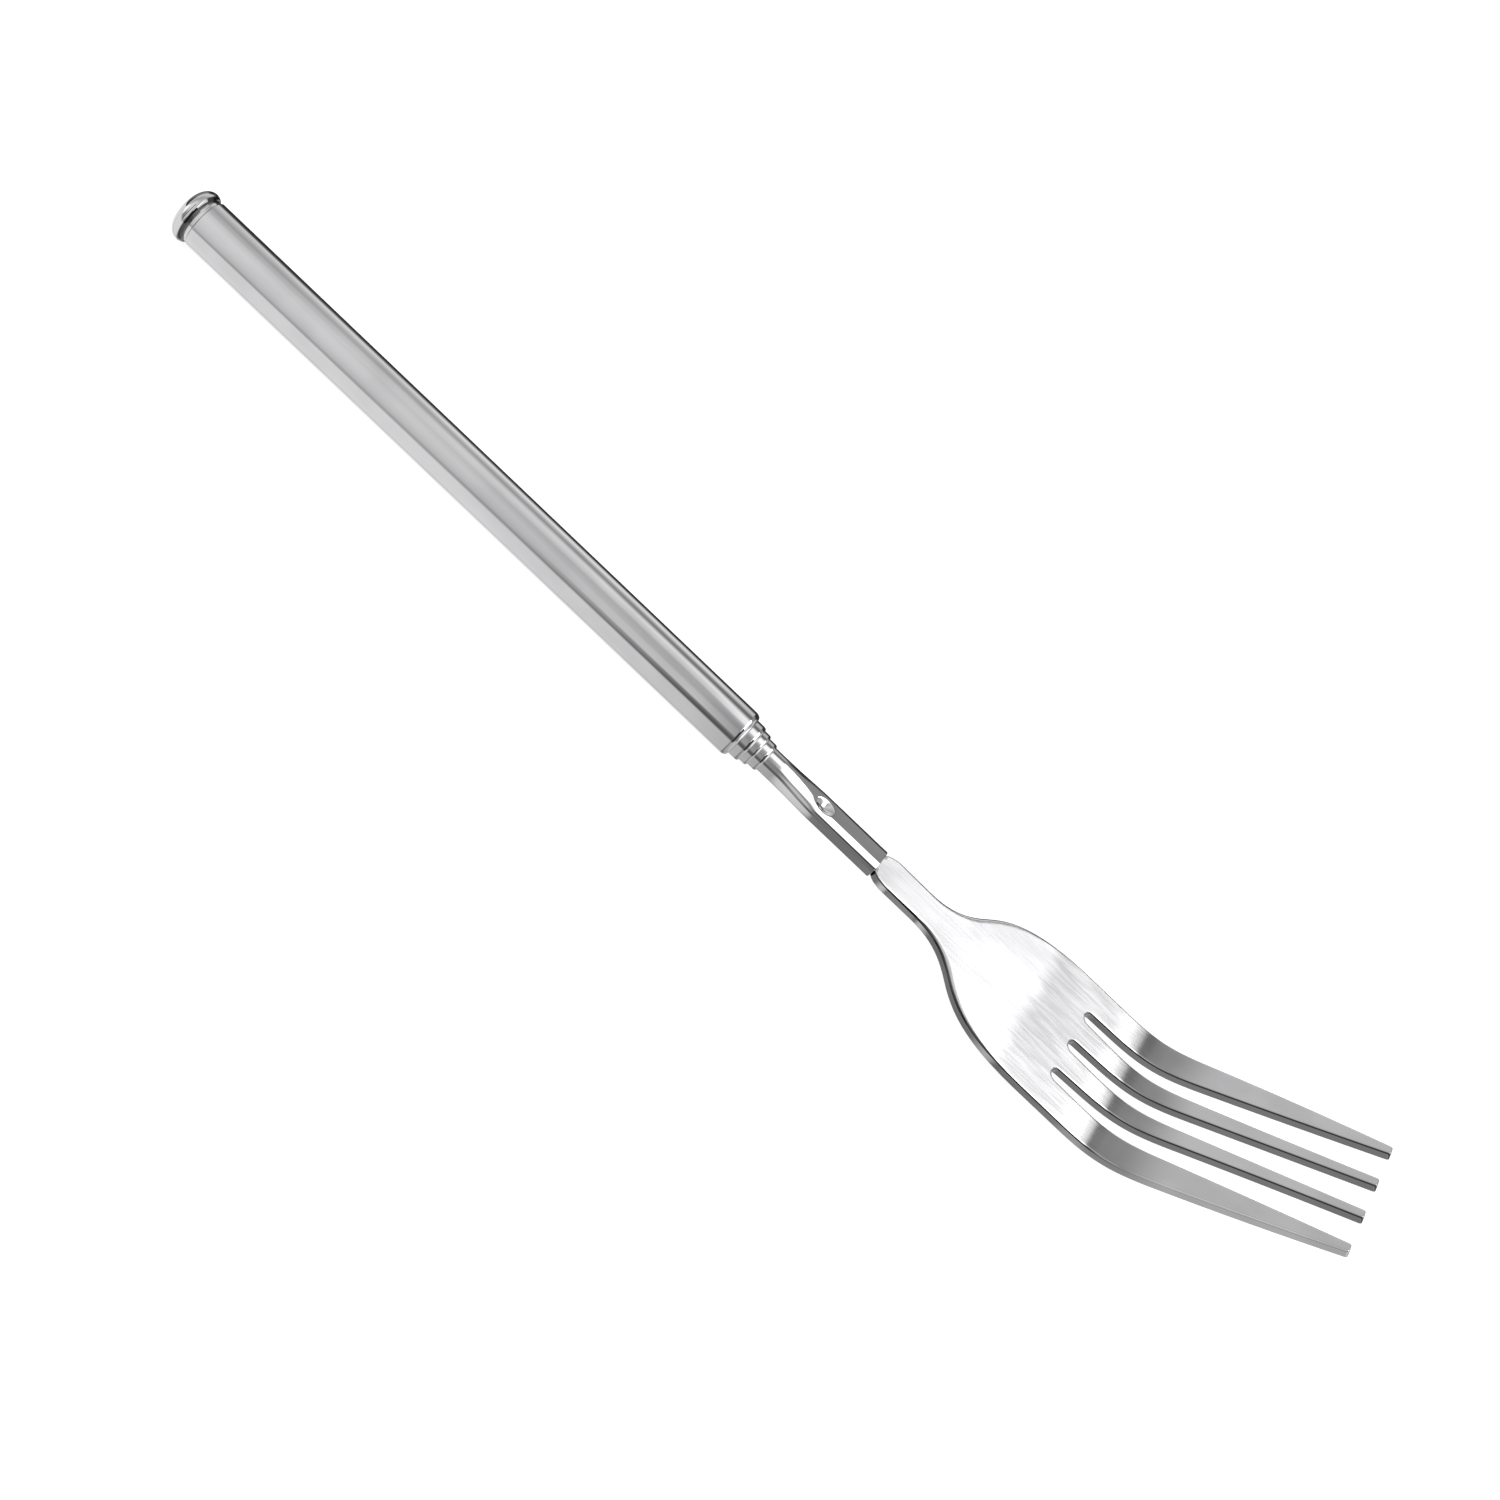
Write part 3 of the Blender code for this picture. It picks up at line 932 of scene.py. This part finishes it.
def end_cap():
    low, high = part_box("end_cap")
    tube_low, tube_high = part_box("handle_tube")
    radius = 0.5 * (high.y - low.y)
    plug = 0.5 * (tube_high.y - tube_low.y) - CAP_PLUG_INSET
    neck_length, neck = CAP_NECK
    rim_front = tube_low.x - neck_length
    rim_length, rim_drop = CAP_RIM_ROUND
    rim_x = rim_front - rim_length
    outline = [
        (high.x, plug - CAP_PLUG_CHAMFER),
        (high.x - CAP_PLUG_CHAMFER, plug),
        (tube_low.x - CAP_STEP, plug),
        (tube_low.x - 2.0 * CAP_STEP, neck),
        (rim_front + CAP_NECK_FILLET, neck),
        (rim_front, neck + CAP_NECK_FILLET),
    ]
    outline += [
        (rim_x + ahead * rim_length, radius - rim_drop * ahead**2)
        for ahead in spread(1.0, 0.0, CAP_RIM_STEPS)[:-1]
    ]
    outline += quarter((rim_x, radius), (low.x, CAP_CROWN_FLAT), CAP_CROWN_STEPS)
    # painted shade: a dark band over the rim's front, standing in for the groove's shade and
    # dark reflection
    material = shade_banded_steel("cap_shaded_steel", rim_x + CAP_SHADE_BAND[0], rim_front + CAP_SHADE_BAND[1])
    piece = turned("cap_shell", outline, material, closed=False)
    finish_piece(piece, "handle", "polished_steel", "end_cap")


def stage_tube(number):
    node = f"stage_tube_{number}"
    low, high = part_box(node)
    lip = STAGE_LIPS[number - 1]
    bead, radius = rear_radii(node)
    bore = radii(node, high.x, high.x)[0]
    outline = [
        (low.x, bead),
        (low.x + FLARE_END, bead),
        (low.x + FLARE_END, radius),
        (low.x + BEAD_START, radius),
        (low.x + BEAD_START, bead),
        (low.x + BEAD_END, bead),
        (low.x + BEAD_END + BEAD_RAMP, radius),
    ]
    outline += mouth(high.x, radius, lip, bore)
    outline += [
        (high.x - STAGE_LIP_BORE * lip[0], bore),
        (high.x - lip[0] - STAGE_LIP_BACK, radius - STAGE_WALL),
        (low.x, radius - STAGE_WALL),
    ]
    piece = turned(f"stage_{number}_shell", outline, polished_steel(f"stage_{number}_steel"))
    finish_piece(piece, f"stage_{number}", "polished_steel", node)


# ------------------------------------------------------------------- the shaft
def ease(t):
    """Smooth step from 0 to 1."""
    t = min(max(t, 0.0), 1.0)
    return t * t * (3.0 - 2.0 * t)


def pressed_ring(x, shaft_radius, offset):
    """Section of the shaft at x, measured from the mouth of the handle.

    The round tube is pressed to two flats with a half round at each side, and
    dented in its upper flat.
    """
    pressed = ease((x - PRESS_START) / (PRESS_END - PRESS_START))
    third = SIDES // 3
    sixth = SIDES // 6
    ring = []
    for side in range(SIDES):
        turn = 2.0 * math.pi * (side / SIDES - 1.0 / 6.0)
        half, step = divmod(side, third + sixth)
        if step < third:  # round side
            lean = math.pi * (step / third - 0.5 + half)
            centre = PRESSED_FLAT * (1 - 2 * half)
        else:  # flat
            lean = math.pi * (0.5 + half)
            centre = PRESSED_FLAT * (1 - 2 * half) * (1.0 - 2.0 * (step - third) / sixth)
        y = shaft_radius * math.cos(turn) * (1.0 - pressed)
        z = shaft_radius * math.sin(turn) * (1.0 - pressed)
        y += (centre + PRESSED_R * math.cos(lean)) * pressed
        z += PRESSED_R * math.sin(lean) * pressed
        out = turn * (1.0 - pressed) + lean * pressed
        y += offset * math.cos(out)
        z += offset * math.sin(out)
        if z > 0.0:
            along = (x - CRIMP_X) / (0.5 * CRIMP_LENGTH)
            across = (y - CRIMP_Y) / (0.5 * CRIMP_WIDTH)
            reach = min(1.0, math.hypot(along, across))
            z -= CRIMP_DEPTH * (0.5 + 0.5 * math.cos(math.pi * reach)) ** CRIMP_FULLNESS
        ring.append((START_X + x, y, AXIS_Z + z))
    return ring


def shaft_tube():
    low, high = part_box("shaft_tube")
    rear, front = low.x - START_X, high.x - START_X
    bead, radius = rear_radii("shaft_tube")
    raised = bead - radius
    crimp_rear = CRIMP_X - 0.5 * CRIMP_LENGTH
    crimp_front = CRIMP_X + 0.5 * CRIMP_LENGTH
    outside = [front - SHAFT_MOUTH_EDGE, front - SHAFT_PLAIN_FRONT]
    outside += spread(crimp_front, crimp_rear, CRIMP_STEPS)
    outside += spread(crimp_rear, PRESS_START, PRESS_STEPS[0])[1:]
    inside = [rear] + spread(PRESS_START, crimp_front, PRESS_STEPS[1]) + [front]
    stations = [(front, -SHAFT_MOUTH_EDGE)]
    stations += [(x, 0.0) for x in outside]
    stations += [
        (rear + BEAD_END + BEAD_RAMP, 0.0),
        (rear + BEAD_END, raised),
        (rear + BEAD_START, raised),
        (rear + BEAD_START, 0.0),
        (rear + FLARE_END, 0.0),
        (rear + FLARE_END, raised),
        (rear, raised),
    ]
    stations += [(x, -SHAFT_WALL) for x in inside]
    rings = [pressed_ring(x, radius, offset) for x, offset in stations]
    piece = loft("shaft_shell", rings, polished_steel("shaft_steel"), True)
    finish_piece(piece, "fork", "polished_steel", "shaft_tube")


# --------------------------------------------------------------- the fork head
def bezier(a, b, c, d, t):
    s = 1.0 - t
    weights = (s * s * s, 3.0 * s * s * t, 3.0 * s * t * t, t * t * t)
    return tuple(sum(w * p[i] for w, p in zip(weights, (a, b, c, d))) for i in (0, 1))


def head_outline(rear):
    """(length, half width) of the tang, neck, shoulders and the start of the bowl."""
    mid_x, mid_y = SHOULDER_MID
    lean = SHOULDER_LEAN
    ahead = SHOULDER_AHEAD * lean
    outline = [
        (rear, TANG_HALF),
        (0.5 * (rear + NECK_START), TANG_HALF),
        (NECK_START - NECK_STEP, TANG_HALF),
    ]
    outline += [(NECK_START + past, half) for past, half in NECK_ROUND]
    to_middle = (
        (SHOULDER_START, NECK_HALF),
        (SHOULDER_START + SHOULDER_PULLS[0], NECK_HALF),
        (mid_x - lean, mid_y - lean),
        (mid_x, mid_y),
    )
    to_bowl = (
        (mid_x, mid_y),
        (mid_x + ahead, mid_y + ahead),
        (SHOULDER_END - SHOULDER_PULLS[1], BOWL_HALF - BOWL_SWELL),
        (SHOULDER_END, BOWL_HALF),
    )
    places = spread(0.0, 1.0, SHOULDER_STEPS)
    outline += [bezier(*to_middle, t) for t in places[:-1]]
    outline += [bezier(*to_bowl, t) for t in places]
    return outline


def tine_edges(length):
    """Outer edge of the outer tine, the side slot's two edges and the centre slot's."""
    along = max(0.0, (length - SLOT_START) / (HEAD_END - SLOT_START))
    past = max(0.0, (length - BEND_START) / TINE_LENGTH)
    outer = BOWL_HALF - (BOWL_HALF - TINE_TIP_OUT) * past**TINE_TAPER
    centre_gap = SLOT_R + (CENTRE_TIP_GAP - SLOT_R) * along
    side_gap = SLOT_R + (SIDE_TIP_GAP - SLOT_R) * along
    middle = SIDE_SLOT_Y + (SIDE_SLOT_TIP_Y - SIDE_SLOT_Y) * along * along
    middle -= SIDE_SLOT_INSET * along * (1.0 - along)
    if length < SLOT_START:
        into = max(0.0, length - SLOT_ROOT)
        narrow = math.sqrt(max(0.0, SLOT_R**2 - (SLOT_R - into) ** 2))
        centre_gap = side_gap = narrow
    corner = max(0.0, length - (HEAD_END - TIP_CORNER))
    inset = TIP_CORNER - math.sqrt(max(0.0, TIP_CORNER**2 - corner**2))
    return (
        outer - inset,
        middle + side_gap + inset,
        middle - side_gap - inset,
        centre_gap + inset,
    )


def eased(past):
    """Length past a corner that is rounded off over BEND_EASE on each side of it."""
    if past <= -BEND_EASE:
        return 0.0
    if past >= BEND_EASE:
        return past
    return (past + BEND_EASE) ** 2 / (4.0 * BEND_EASE)


def bend_path():
    """Place (x, z) and turn of the sheet's middle at even steps from the start of the bend."""
    x, z = BEND_FROM, 0.0
    path = []
    for step in range(math.ceil((HEAD_END - BEND_FROM) / PATH_STEP) + 1):
        past = BEND_FROM + step * PATH_STEP - BEND_START
        turn = (eased(past) - eased(past - BEND_R * BEND)) / BEND_R
        path.append((x, z, turn))
        x += PATH_STEP * math.cos(turn)
        z += PATH_STEP * math.sin(turn)
    return path


PATH = bend_path()


def bent(length, across, up):
    """Place of a point of the flat sheet once its tines are bent up."""
    along = (length - BEND_FROM) / PATH_STEP
    if along <= 0.0:
        return (START_X + length, across, AXIS_Z + up)
    first = min(int(along), len(PATH) - 2)
    share = along - first
    x, z, turn = (a + (b - a) * share for a, b in zip(PATH[first], PATH[first + 1]))
    return (START_X + x - up * math.sin(turn), across, AXIS_Z + z + up * math.cos(turn))


# A row of points across the sheet: its length along the head, the half widths of
# tine_edges(), whether slots open in it or near it, and its outline's slope.
Row = namedtuple("Row", "length edges slotted slope")


def head_rows(rear):
    """Rows from the end of the tang to the tips of the tines."""
    outline = head_outline(rear)
    rows = []
    for (length, half), (after, half_after) in zip(outline, outline[1:] + outline[-1:]):
        slot_y = SIDE_SLOT_Y * half / BOWL_HALF
        slope = math.atan2(half_after - half, after - length)
        rows.append(Row(length, (half, slot_y, slot_y, 0.0), False, slope))
    lengths = [SHOULDER_END + BOWL_ROW]
    lengths += [SLOT_ROOT - EDGE_ROUND * share for share in ROWS_BEFORE_ROOT]
    lengths += [
        SLOT_ROOT + SLOT_R * (1.0 - math.cos(0.5 * math.pi * share))
        for share in spread(0.0, 1.0, ROOT_STEPS)
    ]
    straight = BEND_END + BEND_EASE
    last = HEAD_END - TIP_CORNER
    for start, end, steps in (
        (SLOT_START, BEND_START, 16),
        (BEND_START, BEND_END, 24),
        (BEND_END, straight, 8),
        (straight, last, 8),
    ):
        lengths += spread(start, end, steps)[1:]
    lengths += [last + TIP_CORNER * share for share in ROWS_AT_TIP]
    rows += [Row(length, tine_edges(length), True, 0.0) for length in lengths]
    return rows


def round_width(length):
    """Plan width of the rounded top edge: widest along the shoulders."""
    rise = ease((length - NECK_START) / (SHOULDER_MID[0] - NECK_START))
    fall = ease((length - SHOULDER_MID[0]) / (SHOULDER_END - SHOULDER_MID[0]))
    return EDGE_ROUND + (SHOULDER_ROUND - EDGE_ROUND) * rise * (1.0 - fall)


def rounding(distance, width, depth):
    """How far a rounded edge has dropped at this distance in from it."""
    if distance >= width:
        return 0.0
    share = 1.0 - max(0.0, distance) / width
    return depth * (1.0 - math.sqrt(1.0 - share * share))


def root_width(length, width):
    """How far the rounded edge round a slot's root reaches along the row at this length."""
    ahead = max(0.0, SLOT_START - max(length, SLOT_ROOT))
    return math.sqrt((SLOT_R + width) ** 2 - ahead**2) - math.sqrt(SLOT_R**2 - ahead**2)


def strip_places(left, right, left_width, right_width):
    """Places across one tine, finer in the rounded edge at each side."""
    span = left - right
    from_left, from_right = (
        [min(width, EDGE_LIMIT * span) * share for share in ACROSS_EDGE]
        for width in (left_width, right_width)
    )
    middle = span - from_left[-1] - from_right[-1]
    inner = [from_left[-1] + middle * share for share in ACROSS_MIDDLE]
    offsets = from_left + inner + [span - step for step in reversed(from_right)]
    return [left - offset for offset in offsets]


def slot_gap(length, y, tine, left, right):
    """Distance in plan from a point of a tine to the nearest slot's edge."""
    if length < SLOT_START:
        return min(math.hypot(length - SLOT_START, y - slot) for slot in SLOTS) - SLOT_R
    from_left = abs(y - left) if tine > 0 else math.inf
    from_right = abs(y - right) if tine < TINES - 1 else math.inf
    return min(from_left, from_right)


def tine_strip(row, tine, top):
    """Points across one tine of a row, on the top or the under side of the sheet."""
    width = round_width(row.length)
    edge_width, depth = UNDER_ROUND, UNDER_ROUND
    if top:
        edge_width, depth = width, min(width, TOP_ROUND_DEPTH)
    mirrored = row.edges + tuple(-y for y in reversed(row.edges))
    left, right = mirrored[2 * tine : 2 * tine + 2]
    level_run = math.cos(row.slope)
    outer_width = width / max(STEEPEST, level_run)
    slot_width = root_width(row.length, width)
    left_width = outer_width if tine == 0 else slot_width
    right_width = outer_width if tine == TINES - 1 else slot_width
    points = []
    for y in strip_places(left, right, left_width, right_width):
        drop = rounding((row.edges[0] - abs(y)) * level_run, edge_width, depth)
        drop = max(drop, rounding(HEAD_END - row.length, TIP_ROUND, TIP_ROUND))
        if row.slotted:
            gap = slot_gap(row.length, y, tine, left, right)
            drop = max(drop, rounding(gap, edge_width, depth))
        up = 0.5 * SHEET - drop
        points.append(bent(row.length, y, up if top else -up))
    return points


def skin(sheet, near, far):
    """Faces between two lines of points."""
    for a, a_next, b, b_next in zip(near, near[1:], far, far[1:]):
        sheet.faces.new((a, a_next, b_next, b))


def lay_across_map(mesh):
    """Map whose first axis runs across the fork; it steers the brushed look."""
    layer = mesh.uv_layers.new(name=ACROSS_MAP)
    for loop in mesh.loops:
        x, y, z = mesh.vertices[loop.vertex_index].co
        layer.data[loop.index].uv = (y + z, x + 0.3 * z)


def fork_head():
    rows = head_rows(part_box("fork_head")[0].x - START_X)
    sheet = bmesh.new()
    over, under = [], []
    for row in rows:
        for side, top in ((over, True), (under, False)):
            strips = [tine_strip(row, tine, top) for tine in range(TINES)]
            side.append([[sheet.verts.new(point) for point in strip] for strip in strips])
    for i, row in enumerate(rows[:-1]):
        for side in (over, under):
            for near, far in zip(side[i], side[i + 1]):
                skin(sheet, near, far)
        for tine in range(TINES):
            for end in (0, -1):
                outer = (tine, end) in ((0, 0), (TINES - 1, -1))
                if outer or row.length >= SLOT_ROOT:
                    top_edge, under_edge = (
                        (side[i][tine][end], side[i + 1][tine][end])
                        for side in (over, under)
                    )
                    skin(sheet, top_edge, under_edge)
    for i in (0, -1):
        for tine in range(TINES):
            skin(sheet, over[i][tine], under[i][tine])
    bmesh.ops.remove_doubles(sheet, verts=sheet.verts, dist=MERGE)
    mesh = finished_mesh(sheet, "head", HEAD_SHARP)
    lay_across_map(mesh)
    piece = new_piece("head", mesh, satin_steel("head_steel"))
    finish_piece(piece, "fork", "satin_steel", "fork_head")


# ----------------------------------------------------------------------- scene
def shims():
    """The spring shims keep their CAD shape and only get their finish."""
    material = spring_brass("shim_brass")
    for name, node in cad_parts.items():
        if name.startswith("friction_shim"):
            node.data.materials.clear()
            node.data.materials.append(material)


studio_world()
pale_floor()
camera()
handle_tube()
end_cap()
for tube_number in (1, 2, 3):
    stage_tube(tube_number)
shaft_tube()
fork_head()
shims()
bpy.context.scene.view_settings.view_transform = "Standard"

bpy.context.view_layer.update()
